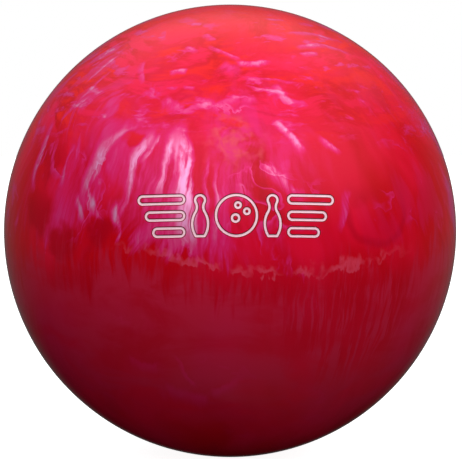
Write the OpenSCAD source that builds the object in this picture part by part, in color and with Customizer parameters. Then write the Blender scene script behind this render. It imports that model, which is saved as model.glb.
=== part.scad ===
// Undrilled three-piece bowling ball: cover, filler core, weight block, locating pin and paint.
// The origin is the ball's centre, +Z is up, and the emblem faces -Y.

/* [Ball] */
// Outside diameter of the ball, within the 8.500 to 8.595 inch rule
ball_d = 217; // [216:0.5:218]
// Thickness of the polyester cover
cover_t = 22; // [18:1:24]

/* [Weight block] */
// Diameter of the pancake-shaped weight block
block_d = 118; // [90:2:118]
// Thickness of the weight block
block_t = 38; // [20:1:40]
// Height of the weight block's outer face above the ball's centre
block_top = 56; // [50:1:58]
// Radius on the rims of the weight block
block_round = 5; // [1:0.5:8]

/* [Locating pin] */
// Diameter of the locating pin, half an inch
pin_d = 12.7; // [10:0.1:16]
// Depth of the pin's seat in the weight block
pin_seat = 6; // [2:1:10]
// Elevation of the locating pin above the equator
pin_elevation = 26; // [24:1:40]

/* [Emblem] */
// Elevation of the emblem's centre above the equator
emblem_elevation = 8; // [0:1:12]
// Width of the emblem
emblem_w = 87; // [80:1:100]
// Height of the emblem, and diameter of its ball
emblem_h = 19; // [16:0.5:22]
// Width of each engraved line
line_w = 1; // [0.8:0.1:1.2]
// Depth of the engraving
groove_depth = 0.8; // [0.5:0.1:1.5]
// Depth that the paint's face lies below the ball's surface
paint_recess = 0.2; // [0.1:0.05:0.3]

/* [Hidden] */
$fn = 96;

ball_r = ball_d / 2;
core_r = ball_r - cover_t;
groove_r = ball_r - groove_depth;
paint_r = ball_r - paint_recess;
block_bottom = block_top - block_t;
pin_bottom = block_top - pin_seat;

// Shapes that are cut through the surface run from the middle of the cover to well outside the ball.
cut_start = ball_r - cover_t / 2;
reach = ball_r + 10;

// The emblem's parts, from its centre outwards
emblem_ball_r = emblem_h / 2;
emblem_gap = emblem_h * 0.13;
finger_hole_r = emblem_h * 0.09;
thumb_hole_r = emblem_h * 0.11;
// The three holes are a group, turned and moved up to the right as on a rolling ball.
finger_hole_x = emblem_h * 0.125;
finger_hole_y = emblem_h * 0.12;
thumb_hole_y = -emblem_h * 0.16;
holes_turn = -35;
holes_shift = [emblem_h * 0.07, emblem_h * 0.07];

// The emblem's bowling pin: a round head, a hollow neck and a full belly, all tangent arcs
head_r = emblem_h * 0.14;
belly_half_w = emblem_h * 0.21;
belly_r = emblem_h * 0.55;
neck_half_w = emblem_h * 0.1;
neck_r = emblem_h * 0.2;
head_y = emblem_h / 2 - head_r;
neck_x = neck_half_w + neck_r;
neck_y = head_y - sqrt(pow(head_r + neck_r, 2) - pow(neck_x, 2));
belly_x = belly_r - belly_half_w;
belly_y = neck_y - sqrt(pow(neck_r + belly_r, 2) - pow(neck_x + belly_x, 2));
pin_x = emblem_ball_r + emblem_gap + belly_half_w;
// Directions in which the head's arc meets the neck's, and the belly's meets the neck's
head_to_neck = atan2(neck_y - head_y, neck_x);
belly_to_neck = atan2(neck_y - belly_y, neck_x + belly_x);
// Straight stretches that stand for each arc of the bowling pin
arc_steps = 8;

// The emblem's bars: three on each side, each shorter than the one above it
bar_count = 3;
bar_h = emblem_h * 0.24;
bar_start = pin_x + belly_half_w + emblem_gap;
bar_step = emblem_h * 0.17;
bar_pitch = (emblem_h - bar_h) / (bar_count - 1);

// Turns a shape that points along +Z so that it points out of the ball's front at an elevation.
module facing(elevation) {
    rotate([90 - elevation, 0, 0]) children();
}

// Keeps only the part of a shape between two radii.
module between_radii(inner_r, outer_r) {
    intersection() {
        children();
        difference() {
            sphere(r = outer_r);
            sphere(r = inner_r);
        }
    }
}

// A flat drawing, carried out through the ball's surface at the emblem's place.
module drawn_through_surface() {
    facing(emblem_elevation)
        translate([0, 0, cut_start])
            linear_extrude(height = reach - cut_start) children();
}

// The paint that fills a drawing's engraved lines.
module paint_in() {
    color("mistyrose") between_radii(groove_r, paint_r) drawn_through_surface() children();
}

module ring(outer_r) {
    difference() {
        circle(r = outer_r);
        circle(r = outer_r - line_w);
    }
}

module emblem_ball_lines() {
    ring(emblem_ball_r);
    translate(holes_shift)
        rotate(holes_turn) {
            for (side = [-1, 1]) translate([side * finger_hole_x, finger_hole_y]) ring(finger_hole_r);
            translate([0, thumb_hole_y]) ring(thumb_hole_r);
        }
}

// Points along an arc about [x, y], from one direction up to but not including another.
function arc(x, y, r, from, to) = [
    for (i = [0 : arc_steps - 1])
        let (angle = from + (to - from) * i / arc_steps) [x + r * cos(angle), y + r * sin(angle)]
];

// The right-hand side of a bowling pin, from the top of its head to its foot, moved inwards by inset.
function pin_side(inset) =
    let (
        foot_y = inset - emblem_h / 2,
        foot_angle = asin((foot_y - belly_y) / (belly_r - inset)),
        foot_x = (belly_r - inset) * cos(foot_angle) - belly_x
    )
    concat(
        arc(0, head_y, head_r - inset, 90, head_to_neck),
        arc(neck_x, neck_y, neck_r + inset, 180 + head_to_neck, 180 + belly_to_neck),
        arc(-belly_x, belly_y, belly_r - inset, belly_to_neck, foot_angle),
        [[foot_x, foot_y]]
    );

// A bowling pin's outline, moved inwards by inset: its right side down, then its left side up.
module pin_shape(inset) {
    side = pin_side(inset);
    last = len(side) - 1;
    polygon(concat(side, [for (i = [last : -1 : 1]) [-side[i][0], side[i][1]]]));
}

module emblem_pin_lines() {
    for (side = [-1, 1])
        translate([side * pin_x, 0])
            difference() {
                pin_shape(0);
                pin_shape(line_w);
            }
}

// A round-ended bar from bar_start outwards, moved inwards by inset.
module bar_shape(length, inset) {
    end_r = bar_h / 2;
    for (x = [end_r, length - end_r]) translate([x, 0]) circle(r = end_r - inset);
    translate([end_r, inset - end_r]) square([length - bar_h, bar_h - 2 * inset]);
}

module emblem_bar_lines() {
    for (side = [0, 1], i = [0 : bar_count - 1]) {
        length = emblem_w / 2 - bar_start - i * bar_step;
        mirror([side, 0])
            translate([bar_start, emblem_h / 2 - bar_h / 2 - i * bar_pitch])
                difference() {
                    bar_shape(length, 0);
                    bar_shape(length, line_w);
                }
    }
}

module emblem_lines() {
    emblem_ball_lines();
    emblem_pin_lines();
    emblem_bar_lines();
}

// The locating pin's rod, before its outer end is rounded off with the ball
module pin_rod() {
    facing(pin_elevation)
        translate([0, 0, pin_bottom]) cylinder(d = pin_d, h = reach - pin_bottom);
}

// The weight block's full shape: a disc with rounded rims
module block_body() {
    rim_r = block_d / 2;
    facing(pin_elevation)
        rotate_extrude() {
            translate([0, block_bottom]) square([rim_r - block_round, block_t]);
            translate([0, block_bottom + block_round]) square([rim_r, block_t - 2 * block_round]);
            for (y = [block_bottom + block_round, block_top - block_round])
                translate([rim_r - block_round, y]) circle(r = block_round);
        }
}

module coverstock() {
    color("crimson")
        difference() {
            sphere(r = ball_r);
            sphere(r = core_r);
            between_radii(groove_r, reach) drawn_through_surface() emblem_lines();
            pin_rod();
        }
}

module filler_core() {
    color("tan")
        difference() {
            sphere(r = core_r);
            block_body();
            pin_rod();
        }
}

module weight_block() {
    color("dimgray")
        difference() {
            block_body();
            pin_rod();
        }
}

module locating_pin() {
    color("deeppink")
        intersection() {
            sphere(r = ball_r);
            pin_rod();
        }
}

module emblem_ball_paint() {
    paint_in() emblem_ball_lines();
}

module emblem_pin_paint() {
    paint_in() emblem_pin_lines();
}

module emblem_bar_paint() {
    paint_in() emblem_bar_lines();
}

coverstock();
filler_core();
weight_block();
locating_pin();
emblem_ball_paint();
emblem_pin_paint();
emblem_bar_paint();
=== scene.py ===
"""Looks of an undrilled pearl polyester bowling ball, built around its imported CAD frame.

Everything is in metres, in the CAD's own frame: the origin is the ball's centre, +Z is up and the
emblem faces -Y. The sections are: sizes, outlines, meshes, materials, pieces, stage.
"""
import math

import bpy
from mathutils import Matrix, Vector


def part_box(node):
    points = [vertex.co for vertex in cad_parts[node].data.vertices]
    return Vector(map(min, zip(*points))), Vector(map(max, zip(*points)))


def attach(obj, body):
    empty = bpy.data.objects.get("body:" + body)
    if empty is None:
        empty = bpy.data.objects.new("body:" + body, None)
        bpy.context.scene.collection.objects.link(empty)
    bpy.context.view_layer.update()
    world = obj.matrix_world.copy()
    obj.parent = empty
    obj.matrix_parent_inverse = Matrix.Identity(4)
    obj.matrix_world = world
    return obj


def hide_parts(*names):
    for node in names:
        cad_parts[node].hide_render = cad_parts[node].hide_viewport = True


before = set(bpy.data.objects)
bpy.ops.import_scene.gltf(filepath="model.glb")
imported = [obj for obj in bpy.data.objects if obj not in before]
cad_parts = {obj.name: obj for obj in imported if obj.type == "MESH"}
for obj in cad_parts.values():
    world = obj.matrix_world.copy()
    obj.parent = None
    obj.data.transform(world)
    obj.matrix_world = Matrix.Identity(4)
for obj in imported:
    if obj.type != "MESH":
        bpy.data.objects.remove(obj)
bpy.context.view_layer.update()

# ------------------------------------------------------------------------------------------ sizes

MM = 0.001


def half_height(node):
    """Half of a CAD node's height, which is the radius of a ball-shaped one."""
    low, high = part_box(node)
    return (high.z - low.z) / 2


BALL_R = half_height("coverstock")
CORE_R = half_height("filler_core")

LINE_W = 1.0 * MM
GROOVE_DEPTH = 0.8 * MM
GROOVE_LIP = 0.25 * MM
LIP_SLOPE = 1.6
PAINT_EDGE = 0.27 * MM
PAINT_MIDDLE = 0.33 * MM
EMBLEM_ELEVATION = math.radians(8)
EMBLEM_W = 87 * MM
EMBLEM_H = 19 * MM

PIN_R = 6.35 * MM
PIN_BOTTOM = 50 * MM
PIN_CHAMFER = 0.6 * MM
PIN_ELEVATION = math.radians(26)

# How far the cutters reach past what they cut: the grooves' out of the ball, and the pin's both ways
GROOVE_OVERSHOOT = 0.12 * MM
PIN_OVERSHOOT = 10 * MM

# How finely the round shapes are divided
BALL_STEPS = 128
HOLE_STEPS = 40
BAR_END_STEPS = 16
HEAD_STEPS = 16
NECK_STEPS = 10
BELLY_STEPS = 20
HALF_FOOT_STEPS = 3
PAINT_STRIPS = 8
PIN_STEPS = 96
PIN_END_RINGS = 10
SPHERE_CELLS = 80
HOLLOW_CELLS = 48

# --------------------------------------------------------------------------------------- outlines
# An outline is a function of inset, the distance it is moved inwards. It gives a closed list of
# (across, up) points with the same number of points at every inset.


def arc(centre, radius, start, end, steps):
    """Points along an arc, from one direction in degrees up to but not including another."""
    angles = [math.radians(start + (end - start) * i / steps) for i in range(steps)]
    return [(centre[0] + radius * math.cos(a), centre[1] + radius * math.sin(a)) for a in angles]


def line(start, end, steps):
    """Points along a straight line, up to but not including its end."""
    shares = [i / steps for i in range(steps)]
    return [(start[0] + (end[0] - start[0]) * s, start[1] + (end[1] - start[1]) * s) for s in shares]


def round_outline(centre, radius, steps):
    """A circle's outline."""
    return lambda inset: arc(centre, radius - inset, 0, 360, steps)


BAR_COUNT = 3
BAR_H = EMBLEM_H * 0.24
BAR_STEP = EMBLEM_H * 0.17
BAR_PITCH = (EMBLEM_H - BAR_H) / (BAR_COUNT - 1)
EMBLEM_GAP = EMBLEM_H * 0.13


def bar_outline(start, length, middle_y, side):
    """A round-ended bar's outline, lying from start outwards on one side of the emblem."""
    end_r = BAR_H / 2
    near, far = start + end_r, start + length - end_r
    straight_steps = round((far - near) / LINE_W)

    def outline(inset):
        r = end_r - inset
        points = line((near, -r), (far, -r), straight_steps)
        points += arc((far, 0), r, -90, 90, BAR_END_STEPS)
        points += line((far, r), (near, r), straight_steps)
        points += arc((near, 0), r, 90, 270, BAR_END_STEPS)
        return [(side * x, middle_y + y) for x, y in points]

    return outline


# The emblem's bowling pin: a round head, a hollow neck and a full belly, all tangent arcs
HEAD_R = EMBLEM_H * 0.14
BELLY_HALF_W = EMBLEM_H * 0.21
BELLY_R = EMBLEM_H * 0.55
NECK_HALF_W = EMBLEM_H * 0.1
NECK_R = EMBLEM_H * 0.2
HEAD_Y = EMBLEM_H / 2 - HEAD_R
NECK_X = NECK_HALF_W + NECK_R
NECK_Y = HEAD_Y - math.sqrt((HEAD_R + NECK_R) ** 2 - NECK_X**2)
BELLY_X = BELLY_R - BELLY_HALF_W
BELLY_Y = NECK_Y - math.sqrt((NECK_R + BELLY_R) ** 2 - (NECK_X + BELLY_X) ** 2)
# Directions, in degrees, in which the head's arc meets the neck's, and the belly's meets the neck's
HEAD_TO_NECK = math.degrees(math.atan2(NECK_Y - HEAD_Y, NECK_X))
BELLY_TO_NECK = math.degrees(math.atan2(NECK_Y - BELLY_Y, NECK_X + BELLY_X))


def pin_outline(middle_x):
    """A bowling pin's outline: tangent arcs for its head, neck and belly, and a flat foot."""

    def outline(inset):
        foot_y = inset - EMBLEM_H / 2
        foot_angle = math.degrees(math.asin((foot_y - BELLY_Y) / (BELLY_R - inset)))
        foot_x = (BELLY_R - inset) * math.cos(math.radians(foot_angle)) - BELLY_X
        neck = (180 + HEAD_TO_NECK, 180 + BELLY_TO_NECK)
        side = arc((0, HEAD_Y), HEAD_R - inset, 90, HEAD_TO_NECK, HEAD_STEPS)
        side += arc((NECK_X, NECK_Y), NECK_R + inset, *neck, NECK_STEPS)
        side += arc((-BELLY_X, BELLY_Y), BELLY_R - inset, BELLY_TO_NECK, foot_angle, BELLY_STEPS)
        side += line((foot_x, foot_y), (0, foot_y), HALF_FOOT_STEPS)
        points = side + [(0, foot_y)] + [(-x, y) for x, y in side[:0:-1]]
        return [(middle_x + x, y) for x, y in points]

    return outline


# The emblem's ball, with its three holes turned and moved up to the right as on a rolling ball
BALL_EMBLEM_R = EMBLEM_H / 2
FINGER_HOLE_R = EMBLEM_H * 0.09
FINGER_HOLE_X = EMBLEM_H * 0.125
FINGER_HOLE_Y = EMBLEM_H * 0.12
THUMB_HOLE_R = EMBLEM_H * 0.11
THUMB_HOLE_Y = -EMBLEM_H * 0.16
HOLES_TURN = math.radians(-35)
HOLES_SHIFT = EMBLEM_H * 0.07


def hole_centre(x, y):
    """Where one of the emblem ball's holes lies, once the group of three is turned and shifted."""
    return (
        HOLES_SHIFT + x * math.cos(HOLES_TURN) - y * math.sin(HOLES_TURN),
        HOLES_SHIFT + x * math.sin(HOLES_TURN) + y * math.cos(HOLES_TURN),
    )


def ball_outlines():
    outlines = [round_outline((0, 0), BALL_EMBLEM_R, BALL_STEPS)]
    for side in (-1, 1):
        finger = hole_centre(side * FINGER_HOLE_X, FINGER_HOLE_Y)
        outlines.append(round_outline(finger, FINGER_HOLE_R, HOLE_STEPS))
    outlines.append(round_outline(hole_centre(0, THUMB_HOLE_Y), THUMB_HOLE_R, HOLE_STEPS))
    return outlines


PIN_X = BALL_EMBLEM_R + EMBLEM_GAP + BELLY_HALF_W
BAR_START = PIN_X + BELLY_HALF_W + EMBLEM_GAP


def pin_outlines():
    return [pin_outline(side * PIN_X) for side in (-1, 1)]


def bar_outlines():
    outlines = []
    for side in (-1, 1):
        for i in range(BAR_COUNT):
            length = EMBLEM_W / 2 - BAR_START - i * BAR_STEP
            middle_y = EMBLEM_H / 2 - BAR_H / 2 - i * BAR_PITCH
            outlines.append(bar_outline(BAR_START, length, middle_y, side))
    return outlines


# ----------------------------------------------------------------------------------------- meshes


def outward(elevation):
    """The direction out of the ball's front at an elevation."""
    return Vector((0, -math.cos(elevation), math.sin(elevation)))


def on_ball(point, radius, elevation):
    """A drawing's (across, up) point, carried straight back on to a sphere at an elevation."""
    x, y = point
    depth = math.sqrt(radius**2 - x**2 - y**2)
    up = Vector((0, math.sin(elevation), math.cos(elevation)))
    return Vector((x, 0, 0)) + up * y + outward(elevation) * depth


def mesh_object(name, points, faces):
    mesh = bpy.data.meshes.new(name)
    mesh.from_pydata(points, [], faces)
    mesh.validate()
    made = bpy.data.objects.new(name, mesh)
    bpy.context.scene.collection.objects.link(made)
    return made


def add_loops(points, faces, loops):
    """Adds closed loops of points, and strips from each to the next and from the last to the first."""
    base, count, rows = len(points), len(loops[0]), len(loops)
    for loop in loops:
        points.extend(loop)
    for row in range(rows):
        for i in range(count):
            a, b = base + row * count, base + (row + 1) % rows * count
            j = (i + 1) % count
            faces.append((a + i, a + j, b + j, b + i))


def quad_sphere(radius, cells):
    """A sphere of even four-sided cells: a cube's grid, blown up. Gives points and faces."""
    points, faces, index = [], [], {}

    def corner(key):
        if key not in index:
            index[key] = len(points)
            tangents = [math.tan(math.radians(90 * k / cells - 45)) for k in key]
            points.append(Vector(tangents).normalized() * radius)
        return index[key]

    for axis in range(3):
        for end in (0, cells):
            for i in range(cells):
                for j in range(cells):
                    around = [(i, j), (i + 1, j), (i + 1, j + 1), (i, j + 1)]
                    keys = [list(pair) for pair in around]
                    for key in keys:
                        key.insert(axis, end)
                    if (end == 0) != (axis == 1):
                        keys.reverse()
                    faces.append(tuple(corner(tuple(key)) for key in keys))
    return points, faces


def groove_cutter(outlines):
    """One closed solid for each outline, to cut a groove with a chamfered lip."""
    points, faces = [], []
    floor = BALL_R - GROOVE_DEPTH
    lip = BALL_R - GROOVE_LIP
    top = BALL_R + GROOVE_OVERSHOOT
    flare = (GROOVE_LIP + GROOVE_OVERSHOOT) * LIP_SLOPE
    rows = [
        (LINE_W, floor),
        (LINE_W, lip),
        (LINE_W + flare, top),
        (-flare, top),
        (0, lip),
        (0, floor),
    ]
    for outline in outlines:
        loops = [[on_ball(p, r, EMBLEM_ELEVATION) for p in outline(inset)] for inset, r in rows]
        add_loops(points, faces, loops)
    return mesh_object("groove_cutter", points, faces)


def around_pin(radius, distance):
    """A circle of points about the locating pin's axis, at a distance from the ball's centre."""
    axis = outward(PIN_ELEVATION)
    up = Vector((0, math.sin(PIN_ELEVATION), math.cos(PIN_ELEVATION)))
    circle = arc((0, 0), radius, 0, 360, PIN_STEPS)
    return [axis * distance + Vector((x, 0, 0)) + up * y for x, y in circle]


def pin_cutter():
    """A rod that cuts the locating pin's hole right through the cover."""
    points, faces = [], []
    for distance in (CORE_R - PIN_OVERSHOOT, BALL_R + PIN_OVERSHOOT):
        points.extend(around_pin(PIN_R, distance))
    for i in range(PIN_STEPS):
        j = (i + 1) % PIN_STEPS
        faces.append((i, j, PIN_STEPS + j, PIN_STEPS + i))
    faces.append(tuple(range(PIN_STEPS - 1, -1, -1)))
    faces.append(tuple(range(PIN_STEPS, 2 * PIN_STEPS)))
    return mesh_object("pin_cutter", points, faces)


def recalculated(made):
    """Turns an object's faces so that they all look outwards."""
    bpy.context.view_layer.objects.active = made
    made.select_set(True)
    bpy.ops.object.mode_set(mode="EDIT")
    bpy.ops.mesh.select_all(action="SELECT")
    bpy.ops.mesh.normals_make_consistent(inside=False)
    bpy.ops.object.mode_set(mode="OBJECT")
    made.select_set(False)
    return made


def cut(made, cutter):
    """Cuts one object out of another for good, and deletes the cutter."""
    modifier = made.modifiers.new("cut", "BOOLEAN")
    modifier.operation = "DIFFERENCE"
    modifier.solver = "EXACT"
    modifier.object = cutter
    depsgraph = bpy.context.evaluated_depsgraph_get()
    result = bpy.data.meshes.new_from_object(made.evaluated_get(depsgraph))
    made.modifiers.clear()
    made.data = result
    bpy.data.objects.remove(cutter)


def rounded_off(mesh, radii):
    """Moves the points that cutting left a hair inside a sphere out on to it."""
    sagging = 0.05 * MM
    for vertex in mesh.vertices:
        for radius in radii:
            if abs(vertex.co.length - radius) < sagging:
                vertex.co = vertex.co.normalized() * radius


def lies_on_ball(mesh, face, radii):
    """True if all of a face's corners lie on one of the spheres with these radii."""
    tolerance = 0.001 * MM
    lengths = [mesh.vertices[v].co.length for v in face.vertices]
    return any(all(abs(length - radius) < tolerance for length in lengths) for radius in radii)


def round_normals(mesh, radii):
    """Gives faces that lie on a sphere its exact normals, and leaves the others flat."""
    mesh.shade_smooth()
    normals = [None] * len(mesh.loops)
    for face in mesh.polygons:
        rounded = lies_on_ball(mesh, face, radii)
        for corner in face.loop_indices:
            position = mesh.vertices[mesh.loops[corner].vertex_index].co
            outwards = position.normalized()
            if face.normal.dot(outwards) < 0:
                outwards.negate()
            normals[corner] = outwards if rounded else face.normal.copy()
    mesh.normals_split_custom_set(normals)


def mark_walls(mesh, radii):
    """Marks the faces that engraving laid bare, which the material darkens, partly as painted shade."""
    walls = mesh.attributes.new("engraved", "FLOAT", "FACE")
    for face in mesh.polygons:
        walls.data[face.index].value = 0.0 if lies_on_ball(mesh, face, radii) else 1.0


def cover_mesh():
    """The cover: a sphere with a hollow, its engraved grooves and the locating pin's hole."""
    points, faces = quad_sphere(BALL_R, SPHERE_CELLS)
    inner_points, inner_faces = quad_sphere(CORE_R, HOLLOW_CELLS)
    offset = len(points)
    points += inner_points
    faces += [tuple(offset + v for v in reversed(face)) for face in inner_faces]
    cover = mesh_object("pearl_cover", points, faces)
    cut(cover, recalculated(groove_cutter(ball_outlines() + pin_outlines() + bar_outlines())))
    cut(cover, recalculated(pin_cutter()))
    rounded_off(cover.data, (BALL_R, CORE_R))
    round_normals(cover.data, (BALL_R, CORE_R))
    mark_walls(cover.data, (BALL_R, CORE_R))
    return cover


def paint_mesh(name, outlines):
    """Paint that fills grooves: it climbs a little at both walls and sinks in the middle."""
    rows = [(0, BALL_R - GROOVE_DEPTH)]
    for i in range(PAINT_STRIPS + 1):
        from_middle = abs(2 * i / PAINT_STRIPS - 1)
        sunk = PAINT_MIDDLE + (PAINT_EDGE - PAINT_MIDDLE) * from_middle**3
        rows.append((LINE_W * i / PAINT_STRIPS, BALL_R - sunk))
    rows.append((LINE_W, BALL_R - GROOVE_DEPTH))
    points, faces = [], []
    for outline in outlines:
        loops = [[on_ball(p, r, EMBLEM_ELEVATION) for p in outline(inset)] for inset, r in rows]
        add_loops(points, faces, loops)
    paint = recalculated(mesh_object(name, points, faces))
    paint.data.shade_smooth()
    paint.data.set_sharp_from_angle(angle=math.radians(40))
    return paint


def pin_mesh():
    """The locating pin: a rod with a chamfered foot, whose outer end is part of the ball's surface."""
    points, faces = [], []
    sections = [(PIN_R - PIN_CHAMFER, PIN_BOTTOM), (PIN_R, PIN_BOTTOM + PIN_CHAMFER)]
    for i in range(PIN_END_RINGS, 0, -1):
        radius = PIN_R * i / PIN_END_RINGS
        sections.append((radius, math.sqrt(BALL_R**2 - radius**2)))
    for radius, distance in sections:
        points.extend(around_pin(radius, distance))
    for row in range(len(sections) - 1):
        for i in range(PIN_STEPS):
            j = (i + 1) % PIN_STEPS
            a, b = row * PIN_STEPS, (row + 1) * PIN_STEPS
            faces.append((a + i, a + j, b + j, b + i))
    last = (len(sections) - 1) * PIN_STEPS
    points.append(outward(PIN_ELEVATION) * BALL_R)
    for i in range(PIN_STEPS):
        faces.append((last + i, last + (i + 1) % PIN_STEPS, len(points) - 1))
    faces.append(tuple(range(PIN_STEPS - 1, -1, -1)))
    pin = recalculated(mesh_object("pin_plug", points, faces))
    round_normals(pin.data, (BALL_R,))
    return pin


# -------------------------------------------------------------------------------------- materials
# Places in the materials are in ball radii from the ball's centre, and so are distances between
# them. A noise's scale is about the number of its grains along one ball radius.


class Graph:
    """A node tree, with one short call for each kind of node that the materials use."""

    def __init__(self, tree):
        self.tree = tree
        tree.nodes.clear()

    def node(self, kind, inputs=None, **settings):
        made = self.tree.nodes.new(kind)
        for name, value in settings.items():
            setattr(made, name, value)
        for name, value in (inputs or {}).items():
            self.feed(made.inputs[name], value)
        return made

    def feed(self, socket, value):
        """Links an output to a socket, or sets the socket's own value."""
        if isinstance(value, bpy.types.NodeSocket):
            self.tree.links.new(value, socket)
        else:
            socket.default_value = value

    def math(self, operation, *values):
        made = self.node("ShaderNodeMath", operation=operation)
        for i, value in enumerate(values):
            self.feed(made.inputs[i], value)
        return made.outputs["Value"]

    def product(self, first, *others):
        for value in others:
            first = self.math("MULTIPLY", first, value)
        return first

    def total(self, *weighted):
        """The sum of (value, weight) pairs."""
        result = 0.0
        for value, weight in weighted:
            result = self.math("MULTIPLY_ADD", value, weight, result)
        return result

    def less(self, value, share=1.0):
        """What is left of 1 when a share of value is taken away."""
        return self.math("MULTIPLY_ADD", value, -share, 1.0)

    def vector(self, operation, *values):
        """A vector operation that gives a vector."""
        return self.vector_node(operation, values).outputs["Vector"]

    def measure(self, operation, *values):
        """A vector operation that gives a number."""
        return self.vector_node(operation, values).outputs["Value"]

    def vector_node(self, operation, values):
        made = self.node("ShaderNodeVectorMath", operation=operation)
        for i, value in enumerate(values):
            self.feed(made.inputs[i], value)
        return made

    def scaled(self, vector, factor):
        made = self.node("ShaderNodeVectorMath", {"Vector": vector, "Scale": factor}, operation="SCALE")
        return made.outputs["Vector"]

    def squeezed(self, vector, x=1.0, y=1.0, z=1.0):
        """Scales a place along each axis, so that a pattern drawn there comes out that much finer."""
        return self.vector("MULTIPLY", vector, (x, y, z))

    def part(self, vector, axis):
        """A vector's X, Y or Z."""
        return self.node("ShaderNodeSeparateXYZ", {"Vector": vector}).outputs[axis]

    def noise(self, vector, scale, detail=2.0, roughness=0.5, distortion=0.0, output="Fac"):
        made = self.node(
            "ShaderNodeTexNoise",
            {
                "Vector": vector,
                "Scale": scale,
                "Detail": detail,
                "Roughness": roughness,
                "Distortion": distortion,
            },
        )
        return made.outputs[output]

    def ease(self, value, low, high, at_low=0.0, at_high=1.0):
        """Goes smoothly from at_low to at_high while value goes from low to high."""
        made = self.node(
            "ShaderNodeMapRange",
            {"Value": value, "From Min": low, "From Max": high, "To Min": at_low, "To Max": at_high},
            interpolation_type="SMOOTHSTEP",
        )
        return made.outputs["Result"]

    def mix(self, factor, a, b):
        """Mixes colour b over colour a. A Mix node's colours are its inputs 6 and 7 and its output 2."""
        made = self.node("ShaderNodeMix", {"Factor": factor}, data_type="RGBA")
        self.feed(made.inputs[6], a)
        self.feed(made.inputs[7], b)
        return made.outputs[2]


def new_material(name, **shader_values):
    """A material whose shader has the given values. Gives the material, its graph and its shader."""
    material = bpy.data.materials.new(name)
    material.use_nodes = True
    graph = Graph(material.node_tree)
    shader = graph.node("ShaderNodeBsdfPrincipled", shader_values)
    graph.node("ShaderNodeOutputMaterial", {"Surface": shader.outputs["BSDF"]})
    return material, graph, shader


def rgb(red, green, blue):
    return (red, green, blue, 1.0)


def roughen(graph, shader, relief, depth):
    """Raises the surface by depth, in metres, where relief is 1."""
    bump = graph.node("ShaderNodeBump", {"Height": relief, "Distance": depth, "Strength": 1.0})
    graph.feed(shader.inputs["Normal"], bump.outputs["Normal"])


def ball_position(graph):
    """The place on or in the ball that is being shaded."""
    place = graph.node("ShaderNodeTexCoord").outputs["Object"]
    return graph.scaled(place, 1 / BALL_R)


def warped(graph, place, scale, strength, detail=1.0):
    """Moves a place about by smooth noise, as slow stirring moves liquid resin."""
    drift = graph.noise(place, scale, detail, output="Color")
    drift = graph.vector("SUBTRACT", drift, (0.5, 0.5, 0.5))
    return graph.vector("ADD", place, graph.scaled(drift, strength))


def near(graph, place, centre, inner, outer):
    """1 within inner of a point, falling to 0 at outer."""
    return graph.ease(graph.measure("DISTANCE", place, centre), inner, outer, 1.0, 0.0)


def front_spot(azimuth, elevation):
    """A point on the unit ball, at an azimuth to the right of its front and an elevation, in degrees."""
    a, e = math.radians(azimuth), math.radians(elevation)
    return Vector((math.sin(a) * math.cos(e), -math.cos(a) * math.cos(e), math.sin(e)))


# The cover's resin, from dark to salmon, and its pearl
# The groove walls' dark red: partly their own unpolished tone, partly painted shade in the grooves
RED_WALL_AND_SHADE = rgb(0.2, 0.0, 0.01)
RED_DARK = rgb(0.42, 0.0, 0.01)
RED_DUSTY = rgb(0.5, 0.011, 0.045)
RED_DEEP = rgb(0.55, 0.0, 0.006)
RED_BRIGHT = rgb(0.7, 0.003, 0.03)
RED_HOT = rgb(0.77, 0.006, 0.055)
RED_ORANGE = rgb(0.78, 0.01, 0.01)
RED_SALMON = rgb(0.76, 0.085, 0.12)
PEARL_THIN = rgb(0.7, 0.015, 0.15)
PEARL_DENSE = rgb(0.84, 0.33, 0.6)
# The rosy pearl, used only for the ruffle, is partly a painted highlight
PEARL_ROSY_HIGHLIGHT = rgb(0.84, 0.13, 0.25)

# How far dense pearl acts as metal, and how strong the salmon blotches in and round the plug are
PEARL_METAL = 0.75
BLOTCHES = 0.7

POLISH = {"Coat Weight": 1.0, "Coat Roughness": 0.03, "Coat IOR": 1.17, "Specular IOR Level": 0.02}
POLISH_DEPTH = 0.004 * MM

# The middles of the regions where the front's look changes
FRONT = front_spot(18, 12)
ROSY_SPOT = front_spot(-20, 14)
CALM_SPOT = front_spot(48, 12)
DROP_SPOT = front_spot(36.5, 9)
DROP_R = 0.155
# The ruffle, along the front of the waterline, is partly a painted highlight
RUFFLE_HIGHLIGHT_SPOT = front_spot(6, -5)
FRINGE_SPOT = front_spot(30, -14)
POUR_POINT = Vector((-0.03, -0.34, 0.94)).normalized()

# Spots on the front without any pearl: azimuth, elevation and radius in degrees.
GAPS = [(-56, 8, 8), (-47, 0, 7), (-34, 3, 5), (-28, 26, 3), (-51, 22, 4), (33, 18, 10)]

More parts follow.
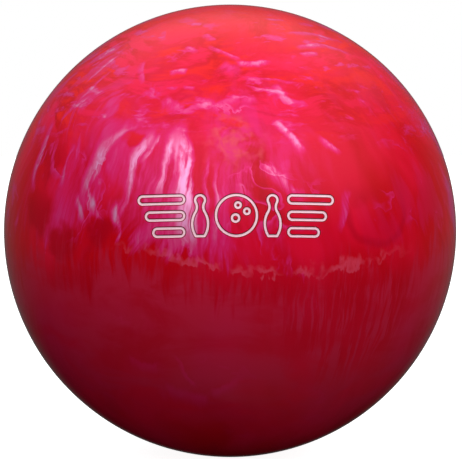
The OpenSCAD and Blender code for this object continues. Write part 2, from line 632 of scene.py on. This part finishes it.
# The folds of pearl that show on the front: where each starts and ends (azimuth and elevation, in
# degrees), its width in degrees, how much it bends to one side, and how dense its pearl is.
FOLDS = [
    ((-15, 30), (-11, 0), 5.0, 0.0, 0.75),
    ((-17, 27), (-19, 12), 2.0, 0.0, 0.6),
    ((-23, 29), (-28, 13), 3.0, 0.5, 0.65),
    ((-20, 28), (-24, 20), 1.4, 0.0, 0.45),
    ((-30, 33), (-43, 11), 3.0, 2.2, 0.4),
    ((-62, 30), (-60, 12), 2.4, 0.0, 0.5),
    ((-50, 38), (-58, 30), 1.6, 0.0, 0.3),
    ((-47, 24), (-49, 14), 1.4, 0.4, 0.3),
    ((-35, 24), (-38, 14), 1.6, 0.0, 0.3),
    ((-26, 15), (-30, 6), 2.4, 0.0, 0.35),
    ((-42, 12), (-39, 5), 1.6, 0.0, 0.4),
    ((-38, 12), (-32, 3), 2.4, 0.0, 0.5),
    ((-31, 11), (-27, -3), 2.4, 0.0, 0.5),
    ((-8, 23), (-7, 0), 1.2, 0.0, 0.4),
    ((-5, 20), (-5, 1), 1.0, 0.0, 0.35),
    ((11, 31), (18, 23), 1.8, 0.0, 0.55),
    ((22, 27), (28, 22), 1.8, 0.0, 0.45),
    ((6, 20), (17, 11), 3.0, 0.0, 0.3),
    ((29, 14), (25, 4), 2.2, 0.0, 0.35),
    ((10, 6), (21, 4), 1.0, 0.0, 0.35),
    ((0, 48), (14, 48), 1.8, 0.0, 0.6),
    ((-10, 55), (1, 49), 1.6, 0.0, 0.4),
    ((27, 55), (54, 53), 1.8, -0.8, 0.4),
    ((26, 61), (60, 57), 1.6, -0.8, 0.35),
    ((-22, 37), (-15, 34), 3.4, 0.0, 0.4),
    ((-12, 37), (-6, 35), 2.6, 0.0, 0.3),
    ((14, 38), (22, 35), 1.8, 0.0, 0.3),
    ((-23, 45), (-17, 46), 1.8, 0.0, 0.55),
    ((-16, 41), (-12, 41), 1.2, 0.0, 0.35),
    ((-19, 54), (-14, 52), 2.0, 0.0, 0.35),
    ((-14, 60), (-9, 57), 2.0, 0.0, 0.35),
    ((-6, 48), (2, 45), 3.2, 0.0, 0.3),
    ((-7, 34), (1, 37), 2.4, 0.0, 0.3),
    ((2, 36), (7, 37), 2.0, 0.0, 0.25),
    ((2, 44), (22, 41), 1.0, 0.4, 0.35),
    ((3, 41), (19, 38), 1.0, 0.4, 0.3),
    ((13, 41), (17, 36), 2.2, 0.0, 0.35),
    ((27, 52), (36, 52), 1.6, 0.0, 0.45),
    ((-36, 49), (-31, 41), 1.8, 0.6, 0.35),
    ((-38, 63), (-34, 57), 1.6, 0.0, 0.3),
    ((-50, 51), (-57, 41), 1.2, 0.0, 0.35),
    ((-47, 46), (-54, 36), 1.2, 0.0, 0.3),
    ((-26, 66), (-20, 66), 1.6, 0.0, 0.3),
    ((23, 69), (38, 68), 1.6, 0.0, 0.4),
]

# The few faint wisps of pearl that show under the waterline, in the same terms.
WISPS = [
    ((-17, -27), (-12, -36), 1.4, 0.4, 0.1),
    ((-22, -37), (-8, -41), 6.0, 0.0, 0.09),
    ((-7, -39), (2, -34), 3.2, 0.4, 0.07),
    ((-31, -28), (-21, -32), 3.4, 0.6, 0.07),
]


class Flow:
    """Coordinates for what the pour drew out: across the flow and along it, away from the pour point."""

    def __init__(self, graph, place, eye=0.6):
        """Within eye of the pour point, the flow has no direction yet."""
        self.graph = graph
        away = graph.measure("DOT_PRODUCT", place, POUR_POINT)
        self.along = graph.scaled(POUR_POINT, away)
        across = graph.vector("SUBTRACT", place, self.along)
        squared = graph.measure("DOT_PRODUCT", across, across)
        reach = graph.math("SQRT", graph.math("ADD", squared, eye**2))
        self.across = graph.scaled(across, graph.math("DIVIDE", math.sqrt(1 + eye**2), reach))

    def noise(self, scale, stretch, detail=2.0, roughness=0.5, offset=0.0):
        """Noise whose grains are drawn out along the flow by stretch. Another offset gives other noise."""
        drawn = self.graph.vector("ADD", self.across, self.graph.scaled(self.along, 1 / stretch))
        drawn = self.graph.vector("ADD", drawn, (offset, offset, offset))
        return self.graph.noise(drawn, scale, detail, roughness)


class Pour:
    """What all the layers of the cover share."""

    def __init__(self, graph):
        self.place = ball_position(graph)
        self.height = graph.part(self.place, "Z")
        self.over_line = above_waterline(graph, self.place)

        # The slow flow, which draws out threads and clouds
        self.stirred = warped(graph, warped(graph, self.place, 1.3, 0.45), 3.4, 0.14)
        self.flow = Flow(graph, self.stirred)
        self.threads = self.flow.noise(26.0, stretch=8.0, detail=3.0, roughness=0.6)
        self.cloud = self.flow.noise(3.2, stretch=1.8, detail=4.0, roughness=0.55)

        # The quick stirring, which frays the folds, and the fine grain in them, below the crown
        self.bent = warped(graph, warped(graph, self.place, 6.0, 0.05), 18.0, 0.024, detail=2.0)
        fine = Flow(graph, self.bent, eye=0.2).noise(40.0, stretch=12.0, detail=3.0, roughness=0.6)
        self.flank = graph.ease(self.height, 0.5, 0.3)
        self.grain = graph.product(graph.math("SUBTRACT", fine, 0.5), self.flank)

        self.crown = graph.product(graph.ease(self.height, 0.35, 0.55), graph.ease(self.height, 1.02, 0.84))
        self.calm = near(graph, self.place, CALM_SPOT, 0.3, 0.8)
        self.gaps = pearl_gaps(graph, self.bent)


def above_waterline(graph, place):
    """How far a place is above the waterline, where the pearl ends. The line sags a little in front."""
    beside = graph.math("SUBTRACT", graph.part(place, "X"), 0.2)
    lift = graph.math("MINIMUM", graph.product(beside, beside), 0.3)
    return graph.math("MULTIPLY_ADD", lift, -0.3, graph.math("ADD", graph.part(place, "Z"), 0.1))


def pearl_gaps(graph, place):
    """1 in the front's ragged gaps, and 0 outside them."""
    ragged = warped(graph, place, 10.0, 0.14, detail=2.0)
    spots = []
    for azimuth, elevation, radius in GAPS:
        outer = math.radians(radius)
        spots.append((near(graph, ragged, front_spot(azimuth, elevation), 0.4 * outer, outer), 1.0))
    return graph.math("MINIMUM", graph.total(*spots), 1.0)


def one_fold(graph, pour, start, end, width, bend):
    """A fold of pearl from one spot on the front to another: one edge is sharper than the other."""
    first, last = front_spot(*start), front_spot(*end)
    middle, run = (first + last) / 2, (last - first) / 2
    sideways = run.cross(middle).normalized()
    apart = graph.vector("SUBTRACT", pour.bent, middle.normalized())
    along = graph.measure("DOT_PRODUCT", apart, run / run.length_squared)
    squared = graph.product(along, along)
    side = graph.measure("DOT_PRODUCT", apart, sideways / math.radians(width / 2))
    side = graph.total((squared, bend), (pour.grain, 1.2), (side, 1.0))
    lengthwise = graph.ease(graph.math("MULTIPLY_ADD", pour.grain, 1.6, squared), 1.3, 0.2)
    return graph.product(lengthwise, graph.ease(side, -1.2, -0.4), graph.ease(side, 1.8, -0.4))


def listed_folds(graph, pour, folds):
    return graph.total(*[(one_fold(graph, pour, *fold), density) for *fold, density in folds])


def front_folds(graph, pour):
    """The front's own folds, thinner between the grains and where crumbs of clear resin lie."""
    crumbs = graph.noise(graph.squeezed(pour.bent, z=0.3), 26.0, detail=3.0, roughness=0.6)
    return graph.product(
        listed_folds(graph, pour, FOLDS),
        graph.ease(pour.grain, -0.14, 0.1, 0.35, 1.0),
        graph.ease(crumbs, 0.36, 0.56, 0.6, 1.08),
    )


def stray_folds(graph, pour):
    """Random folds and glints, in patches all round the ball and nearly none in front."""
    drawn = pour.flow.noise(7.0, stretch=3.5, detail=3.0, offset=3.0)
    folds = graph.ease(graph.total((drawn, 1.0), (pour.threads, 0.16)), 0.58, 0.7)
    glints = graph.ease(pour.flow.noise(16.0, stretch=2.2, offset=5.0), 0.64, 0.76)
    patches = graph.ease(graph.noise(pour.place, 1.5, detail=1.0), 0.4, 0.62, 0.1, 0.7)
    front = near(graph, pour.place, FRONT, 0.7, 1.0)
    return graph.product(graph.total((folds, 0.4), (glints, 0.35)), patches, graph.less(front, 0.75))


def cloudy_tint(graph, pour):
    """Thin, cloudy pearl: most of it by the rosy spot, and least by the calm one."""
    rosy = near(graph, pour.place, ROSY_SPOT, 0.3, 0.75)
    return graph.product(
        graph.ease(pour.cloud, 0.36, 0.62, 0.1, 1.0),
        graph.total((rosy, 0.2), (graph.math("SUBTRACT", 1.2, pour.calm), 0.055)),
        graph.math("MULTIPLY_ADD", pour.grain, 3.0, 1.0),
        graph.ease(pour.height, 0.75, 0.35, 0.3, 1.0),
    )


def crown_strokes(graph, pour):
    """Short, level strokes of pearl across the crown."""
    strokes = graph.noise(graph.squeezed(pour.bent, z=3.2), 7.0, detail=3.0, roughness=0.6)
    return graph.product(graph.ease(strokes, 0.55, 0.72, 0.0, 0.28), pour.crown)


def curled_edges(graph, pour):
    """Bright lips where one curl of pearl slid over another, here and there: sharp on one side only."""
    curls = graph.noise(pour.bent, 5.0, detail=3.0, roughness=0.58, distortion=0.8)
    lip = graph.product(graph.ease(curls, 0.5, 0.515), graph.ease(curls, 0.6, 0.51))
    return graph.product(lip, graph.ease(graph.noise(pour.bent, 4.0), 0.5, 0.64))


def poured_pearl(graph, pour):
    """How much pearl there is, from 0 to 1: every kind above the waterline, and hardly any below it."""
    curls = curled_edges(graph, pour)
    curls_weight = graph.product(
        graph.math("MULTIPLY_ADD", pour.calm, -0.12, 0.24), graph.ease(pour.height, 0.75, 0.5)
    )
    pearl = graph.total(
        (front_folds(graph, pour), 1.0),
        (stray_folds(graph, pour), 1.0),
        (cloudy_tint(graph, pour), 1.0),
        (crown_strokes(graph, pour), 1.0),
        (curls, curls_weight),
    )
    level = graph.total((pour.over_line, 1.0), (pour.cloud, 0.25), (pour.threads, 0.3))
    above = graph.product(graph.ease(level, 0.27, 0.38), graph.less(pour.gaps, 0.85))
    murky = graph.product(
        graph.ease(pour.cloud, 0.35, 0.65, 0.0, 0.05), graph.ease(pour.height, -0.12, -0.3)
    )
    wisps = listed_folds(graph, pour, WISPS)
    return graph.total((pearl, above), (murky, 1.0), (curls, 0.03), (wisps, 1.0))


def ruffle_and_highlight(graph, pour):
    """The waterline's bright, broken front lip, drawn down in short curls: pearl and a painted highlight.
    """
    drawn = graph.noise(graph.squeezed(pour.bent, z=0.6), 22.0, roughness=0.55)
    level = graph.math("MULTIPLY_ADD", graph.math("SUBTRACT", drawn, 0.5), 0.16, pour.over_line)
    return graph.product(
        graph.ease(level, -0.014, -0.004),
        graph.ease(level, 0.03, 0.0),
        graph.ease(graph.noise(pour.bent, 11.0), 0.36, 0.56),
        near(graph, pour.bent, RUFFLE_HIGHLIGHT_SPOT, 0.4, 0.75),
    )


def curtain(graph, place, scale):
    """Noise that hangs straight down the ball's sides in threads."""
    around = graph.vector("NORMALIZE", graph.squeezed(place, z=0.0))
    upright = graph.squeezed(place, x=0.0, y=0.0, z=0.1)
    return graph.noise(graph.vector("ADD", around, upright), scale, detail=3.0, roughness=0.6)


def dusty_veil(graph, pour):
    """The dull layer under the waterline: it hangs in threads, with clear red between them."""
    place = warped(graph, pour.place, 6.0, 0.04)
    level = graph.total(
        (pour.over_line, 1.0),
        (graph.noise(place, 5.0), 0.3),
        (curtain(graph, place, 11.0), 0.5),
        (curtain(graph, place, 44.0), 0.4),
    )
    fringe = near(graph, place, FRINGE_SPOT, 0.22, 0.45)
    slits = graph.product(graph.ease(curtain(graph, place, 36.0), 0.56, 0.44), fringe)
    strokes = graph.noise(graph.squeezed(place, z=2.5), 2.6, detail=4.0, roughness=0.6, distortion=0.6)
    return graph.product(
        graph.ease(level, 0.62, 0.44),
        graph.less(slits, 0.95),
        graph.ease(strokes, 0.38, 0.6, 0.35, 1.0),
        graph.ease(pour.height, -0.85, -0.5, 0.3, 0.85),
    )


def drop_edge(graph, pour):
    """The dark lower edge of the round drop of resin to the right of the emblem."""
    distance = graph.measure("DISTANCE", pour.bent, DROP_SPOT)
    off_edge = graph.math("ABSOLUTE", graph.math("SUBTRACT", distance, DROP_R))
    lower = graph.ease(pour.height, DROP_SPOT.z + DROP_R, DROP_SPOT.z - DROP_R / 2)
    return graph.product(graph.ease(off_edge, 0.0, 0.03, 1.0, 0.0), lower)


def murk_and_painted_shade(graph, pour):
    """Where the resin is darkest: painted shade below the waterline, the lower gaps, and the drop's edge.
    """
    # Painted shade: a darker band just under the waterline, fading towards the bottom
    low = graph.product(
        graph.ease(pour.height, 0.02, -0.2, 0.0, 0.7), graph.ease(pour.height, -0.8, -0.3, 0.1, 1.0)
    )
    low_gaps = graph.product(pour.gaps, graph.ease(pour.height, 0.28, 0.12, 0.0, 0.8))
    edge = graph.product(drop_edge(graph, pour), 0.5)
    return graph.math("MAXIMUM", graph.math("MAXIMUM", low, low_gaps), edge)


def poured_resin(graph, pour):
    """The resin's colour: deep red, livelier in the crown, dull and with painted shade below the waterline.
    """
    depth = pour.flow.noise(2.6, stretch=2.0, detail=3.0, roughness=0.55, offset=11.0)
    layers = graph.noise(graph.squeezed(pour.stirred, z=3.0), 3.5, detail=4.0, roughness=0.6)
    lively = graph.product(pour.crown, graph.less(pour.calm, 0.6))
    shade = graph.product(graph.ease(pour.cloud, 0.42, 0.3, 0.0, 0.8), pour.flank)
    resin = graph.mix(graph.ease(depth, 0.38, 0.62), RED_DEEP, RED_BRIGHT)
    resin = graph.mix(graph.product(graph.ease(layers, 0.5, 0.6), lively), resin, RED_HOT)
    resin = graph.mix(graph.product(graph.ease(layers, 0.5, 0.36), lively), resin, RED_ORANGE)
    resin = graph.mix(graph.ease(pour.height, 0.8, 0.92, 0.0, 0.35), resin, RED_ORANGE)
    resin = graph.mix(shade, resin, RED_DARK)
    # Painted shade below the waterline, with the darker lower gaps and the drop's edge
    resin = graph.mix(murk_and_painted_shade(graph, pour), resin, RED_DARK)
    return graph.mix(dusty_veil(graph, pour), resin, RED_DUSTY)


def from_plug(graph, place):
    """The distance from the middle of the locating pin's outer end."""
    return graph.measure("DISTANCE", place, outward(PIN_ELEVATION))


def away_from_plug(graph, place):
    """0 in the plug and close round it and 1 further off, with a frayed edge between."""
    frayed = graph.total((graph.noise(place, 13.0, detail=3.0), 0.16), (from_plug(graph, place), 1.0))
    return graph.ease(frayed, 0.14, 0.23)


def mottled_pearl(graph, place):
    """The fine, even pearl in the plug and close round it, with a lighter ring at the plug's edge."""
    mottle = graph.ease(graph.noise(place, 24.0, detail=3.0), 0.3, 0.72, 0.04, 0.22)
    off_edge = graph.math("ABSOLUTE", graph.math("SUBTRACT", from_plug(graph, place), PIN_R / BALL_R))
    ring = graph.product(graph.ease(off_edge, 0.0, 0.01, 0.14, 0.0), graph.noise(place, 9.0))
    return graph.math("ADD", mottle, ring)


def mottled_resin(graph, place, resin, amount):
    """Resin with the salmon blotches that lie in the plug and close round it."""
    moved = graph.vector("ADD", place, (3.0, 0.0, 0.0))
    blotches = graph.ease(graph.noise(moved, 15.0), 0.44, 0.6, 0.1, 1.0)
    return graph.mix(graph.product(blotches, amount), resin, RED_SALMON)


def pearl_colour(graph, resin, pearl):
    """Thin pearl tints the resin magenta, and dense pearl covers it with lavender pink."""
    tinted = graph.mix(graph.ease(pearl, 0.0, 0.3), resin, PEARL_THIN)
    return graph.mix(graph.ease(pearl, 0.2, 0.95), tinted, PEARL_DENSE)


def polish_marks(graph, place):
    """What is left after polishing: a faint, slow ripple, and finer scuffs that run all ways."""
    ripple = graph.noise(place, 40.0)
    scuffs = graph.noise(warped(graph, place, 9.0, 0.3), 260.0, detail=3.0, roughness=0.65)
    return graph.total((ripple, 0.7), (scuffs, 0.3))


def pearl_polyester():
    """Pearl polyester under a clear polish: deep red resin with drawn-out pink and lavender pearl."""
    material, graph, shader = new_material("pearl_polyester", **POLISH)
    pour = Pour(graph)
    away = away_from_plug(graph, pour.place)
    by_plug = graph.less(away)
    pearl = graph.total((poured_pearl(graph, pour), away), (mottled_pearl(graph, pour.place), by_plug))
    resin = mottled_resin(graph, pour.place, poured_resin(graph, pour), graph.product(by_plug, BLOTCHES))
    colour = pearl_colour(graph, resin, pearl)
    # The ruffle's rosy colour: partly pearl, partly a painted highlight along the waterline
    colour = graph.mix(graph.product(ruffle_and_highlight(graph, pour), 0.25), colour, PEARL_ROSY_HIGHLIGHT)
    engraved = graph.node("ShaderNodeAttribute", attribute_name="engraved").outputs["Fac"]
    # Groove walls and lips take the dark wall red, partly their own tone and partly painted shade
    graph.feed(shader.inputs["Base Color"], graph.mix(engraved, colour, RED_WALL_AND_SHADE))
    graph.feed(shader.inputs["Metallic"], graph.product(pearl, PEARL_METAL, graph.less(engraved)))
    graph.feed(shader.inputs["Roughness"], graph.ease(pour.threads, 0.3, 0.7, 0.42, 0.3))
    roughen(graph, shader, polish_marks(graph, pour.place), POLISH_DEPTH)
    return material


def pin_resin():
    """The plug's own pour of the same resin: an even, finely mottled pink."""
    material, graph, shader = new_material("pin_resin", **POLISH)
    place = ball_position(graph)
    pearl = mottled_pearl(graph, place)
    resin = graph.mix(graph.noise(place, 8.0, detail=3.0), RED_DEEP, RED_BRIGHT)
    resin = mottled_resin(graph, place, resin, BLOTCHES)
    graph.feed(shader.inputs["Base Color"], pearl_colour(graph, resin, pearl))
    graph.feed(shader.inputs["Metallic"], graph.math("MULTIPLY_ADD", pearl, PEARL_METAL, 0.01))
    graph.feed(shader.inputs["Roughness"], graph.ease(pearl, 0.0, 0.5, 0.42, 0.34))
    roughen(graph, shader, polish_marks(graph, place), POLISH_DEPTH)
    return material


PAINT_THIN = rgb(0.96, 0.58, 0.68)
PAINT_THICK = rgb(1.0, 0.68, 0.78)
PAINT_DUSTY = rgb(0.85, 0.42, 0.52)


def emblem_paint():
    """Pale pink filling paint, a little uneven where it was wiped."""
    material, graph, shader = new_material("emblem_paint", **{"Coat Weight": 0.15, "Coat Roughness": 0.2})
    place = ball_position(graph)
    wiped = graph.noise(graph.squeezed(place, x=0.4, z=1.6), 70.0, detail=4.0, roughness=0.6)
    dust = graph.ease(graph.noise(place, 300.0), 0.62, 0.74)
    colour = graph.mix(graph.ease(wiped, 0.3, 0.7), PAINT_THIN, PAINT_THICK)
    graph.feed(shader.inputs["Base Color"], graph.mix(dust, colour, PAINT_DUSTY))
    graph.feed(shader.inputs["Roughness"], graph.ease(wiped, 0.3, 0.7, 0.34, 0.56))
    roughen(graph, shader, graph.total((wiped, 0.8), (dust, -0.2)), 0.04 * MM)
    return material


def pits(graph, place, scale, share):
    """1 in the small round pits that air bubbles left in a share of a pattern's cells, and 0 between."""
    cells = graph.node("ShaderNodeTexVoronoi", {"Vector": place, "Scale": scale})
    chosen = graph.node("ShaderNodeSeparateColor", {"Color": cells.outputs["Color"]}).outputs["Red"]
    size = graph.ease(chosen, 1.0 - share, 1.0, 0.0, 0.34)
    return graph.ease(graph.math("SUBTRACT", cells.outputs["Distance"], size), 0.0, -0.08)


CREAM_DARK = rgb(0.5, 0.39, 0.24)
CREAM_LIGHT = rgb(0.64, 0.53, 0.36)
FILLER_GRAIN = rgb(0.8, 0.74, 0.6)
# The bubble pits' dark brown is painted shade
FILLER_PIT_SHADE = rgb(0.3, 0.22, 0.13)


def filler_resin():
    """Light filled resin, chalky and cream: pale filler grains, and small bubble pits in painted shade."""
    material, graph, shader = new_material("filler_resin", **{"Specular IOR Level": 0.3})
    place = ball_position(graph)
    clouds = graph.noise(place, 3.0, detail=5.0, roughness=0.6)
    grains = graph.noise(place, 130.0)
    bubbles = pits(graph, place, scale=28.0, share=0.35)
    colour = graph.mix(graph.ease(clouds, 0.35, 0.65), CREAM_DARK, CREAM_LIGHT)
    colour = graph.mix(graph.ease(grains, 0.58, 0.72, 0.0, 0.7), colour, FILLER_GRAIN)
    # The pits are darkened with painted shade
    graph.feed(shader.inputs["Base Color"], graph.mix(bubbles, colour, FILLER_PIT_SHADE))
    graph.feed(shader.inputs["Roughness"], graph.ease(clouds, 0.3, 0.7, 0.7, 0.9))
    roughen(graph, shader, graph.total((grains, 0.3), (bubbles, -1.0)), 0.3 * MM)
    return material


SLATE_DARK = rgb(0.09, 0.1, 0.12)
SLATE_LIGHT = rgb(0.15, 0.16, 0.18)
MINERAL_DARK = rgb(0.04, 0.045, 0.05)
MINERAL_GLASSY = rgb(0.4, 0.41, 0.42)


def weight_resin():
    """Dense resin, heavy with ground mineral: slate grey, with dark and glassy grains."""
    material, graph, shader = new_material("weight_resin")
    place = ball_position(graph)
    clouds = graph.noise(place, 5.0, detail=4.0, roughness=0.6)
    dark_grains = graph.noise(place, 90.0, detail=3.0, roughness=0.6)
    glassy_grains = graph.ease(graph.noise(place, 150.0, detail=1.0), 0.66, 0.72)
    colour = graph.mix(graph.ease(clouds, 0.35, 0.65), SLATE_DARK, SLATE_LIGHT)
    colour = graph.mix(graph.ease(dark_grains, 0.55, 0.7), colour, MINERAL_DARK)
    graph.feed(shader.inputs["Base Color"], graph.mix(glassy_grains, colour, MINERAL_GLASSY))
    graph.feed(shader.inputs["Roughness"], graph.math("MULTIPLY_ADD", glassy_grains, -0.35, 0.75))
    roughen(graph, shader, graph.total((clouds, 0.4), (dark_grains, 0.6)), 0.25 * MM)
    return material


# ----------------------------------------------------------------------------------------- pieces


def dress(piece, material):
    """Gives a piece its only material."""
    piece.data.materials.clear()
    piece.data.materials.append(material)


def stand_for(piece, node, material):
    """Lets a piece take a CAD node's place."""
    dress(piece, material)
    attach(piece, "root")
    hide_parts(node)


paint = emblem_paint()
stand_for(cover_mesh(), "coverstock", pearl_polyester())
stand_for(pin_mesh(), "locating_pin", pin_resin())
stand_for(paint_mesh("ball_paint", ball_outlines()), "emblem_ball_paint", paint)
stand_for(paint_mesh("pins_paint", pin_outlines()), "emblem_pin_paint", paint)
stand_for(paint_mesh("bars_paint", bar_outlines()), "emblem_bar_paint", paint)
dress(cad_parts["filler_core"], filler_resin())
dress(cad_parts["weight_block"], weight_resin())

# ------------------------------------------------------------------------------------------ stage

scene = bpy.context.scene
scene.view_settings.view_transform = "Standard"

WHITE = rgb(1.0, 1.0, 1.0)
FLOOR_GREY = rgb(0.5, 0.5, 0.5)
FLOOR_GLOW = 0.93
FLOOR_HALF = 3.0

# How bright the light tent is in each direction, where 1 is plain white
FRONT_LIGHT = 4.2
SIDE_LIGHT = 0.05
OVERHEAD_LIGHT = 1.5
LOW_LIGHT = 0.17
BACK_LIGHT = 0.1
# The tent's brightest side, as an azimuth to the right of the ball's front, in degrees
TENT_AZIMUTH = 16

# Where the camera stands, in degrees
CAMERA_AZIMUTH = -1.5
CAMERA_ELEVATION = 4.4
# The ball's radius in the picture and the picture's shift, as shares of the picture's width
BALL_SHARE = 0.48983
SHIFT_RIGHT = 0.00195
SHIFT_UP = 0.00281


def make_floor():
    """A plain pale floor. It glows for the camera only, so it doesn't light the ball's underside."""
    corners = [(x * FLOOR_HALF, y * FLOOR_HALF, 0) for x, y in ((-1, -1), (1, -1), (1, 1), (-1, 1))]
    floor = mesh_object("floor", corners, [(0, 1, 2, 3)])
    floor.location.z = -BALL_R
    look = {"Base Color": FLOOR_GREY, "Emission Color": WHITE, "Emission Strength": FLOOR_GLOW}
    material, _, _ = new_material("pale_floor", Roughness=0.9, **look)
    floor.data.materials.append(material)
    floor.visible_diffuse = False
    floor.visible_glossy = False


def make_world():
    """A soft light tent: bright in front and overhead, dim at the sides and behind, and dark below."""
    world = bpy.data.worlds.new("tent")
    scene.world = world
    world.use_nodes = True
    graph = Graph(world.node_tree)
    direction = graph.node("ShaderNodeTexCoord").outputs["Generated"]
    height = graph.part(direction, "Z")
    level = graph.vector("NORMALIZE", graph.squeezed(direction, z=0.0))
    facing = graph.measure("DOT_PRODUCT", level, front_spot(TENT_AZIMUTH, 0))
    overhead = graph.ease(height, 0.3, 1.0)
    walls = graph.product(graph.ease(facing, -0.2, 1.0, SIDE_LIGHT, FRONT_LIGHT), graph.less(overhead))
    upper = graph.total((overhead, OVERHEAD_LIGHT), (walls, 1.0))
    brightness = graph.total(
        (upper, graph.ease(height, 0.0, 0.85)),
        (graph.ease(facing, -1.0, 1.0, 0.0, LOW_LIGHT), 1.0),
        (graph.ease(facing, 0.3, -0.5, 0.0, BACK_LIGHT), graph.ease(height, -0.45, -0.12)),
    )
    tent = graph.node("ShaderNodeBackground", {"Color": WHITE, "Strength": brightness})
    backdrop = graph.node("ShaderNodeBackground", {"Color": WHITE, "Strength": 1.0})
    seen = graph.node("ShaderNodeLightPath").outputs["Is Camera Ray"]
    mixed = graph.node(
        "ShaderNodeMixShader", {0: seen, 1: tent.outputs["Background"], 2: backdrop.outputs["Background"]}
    )
    graph.node("ShaderNodeOutputWorld", {"Surface": mixed.outputs["Shader"]})


def make_camera():
    """A long lens, a little above the ball's middle, that frames the ball edge to edge."""
    camera = bpy.data.objects.new("camera", bpy.data.cameras.new("camera"))
    scene.collection.objects.link(camera)
    camera.data.lens = 200
    camera.data.sensor_width = 36
    camera.data.shift_x = SHIFT_RIGHT
    camera.data.shift_y = SHIFT_UP
    back = front_spot(CAMERA_AZIMUTH, CAMERA_ELEVATION)
    spread = math.atan(BALL_SHARE * camera.data.sensor_width / camera.data.lens)
    camera.location = back * BALL_R / math.sin(spread)
    camera.rotation_mode = "QUATERNION"
    camera.rotation_quaternion = (-back).to_track_quat("-Z", "Y")
    scene.camera = camera


make_floor()
make_world()
make_camera()
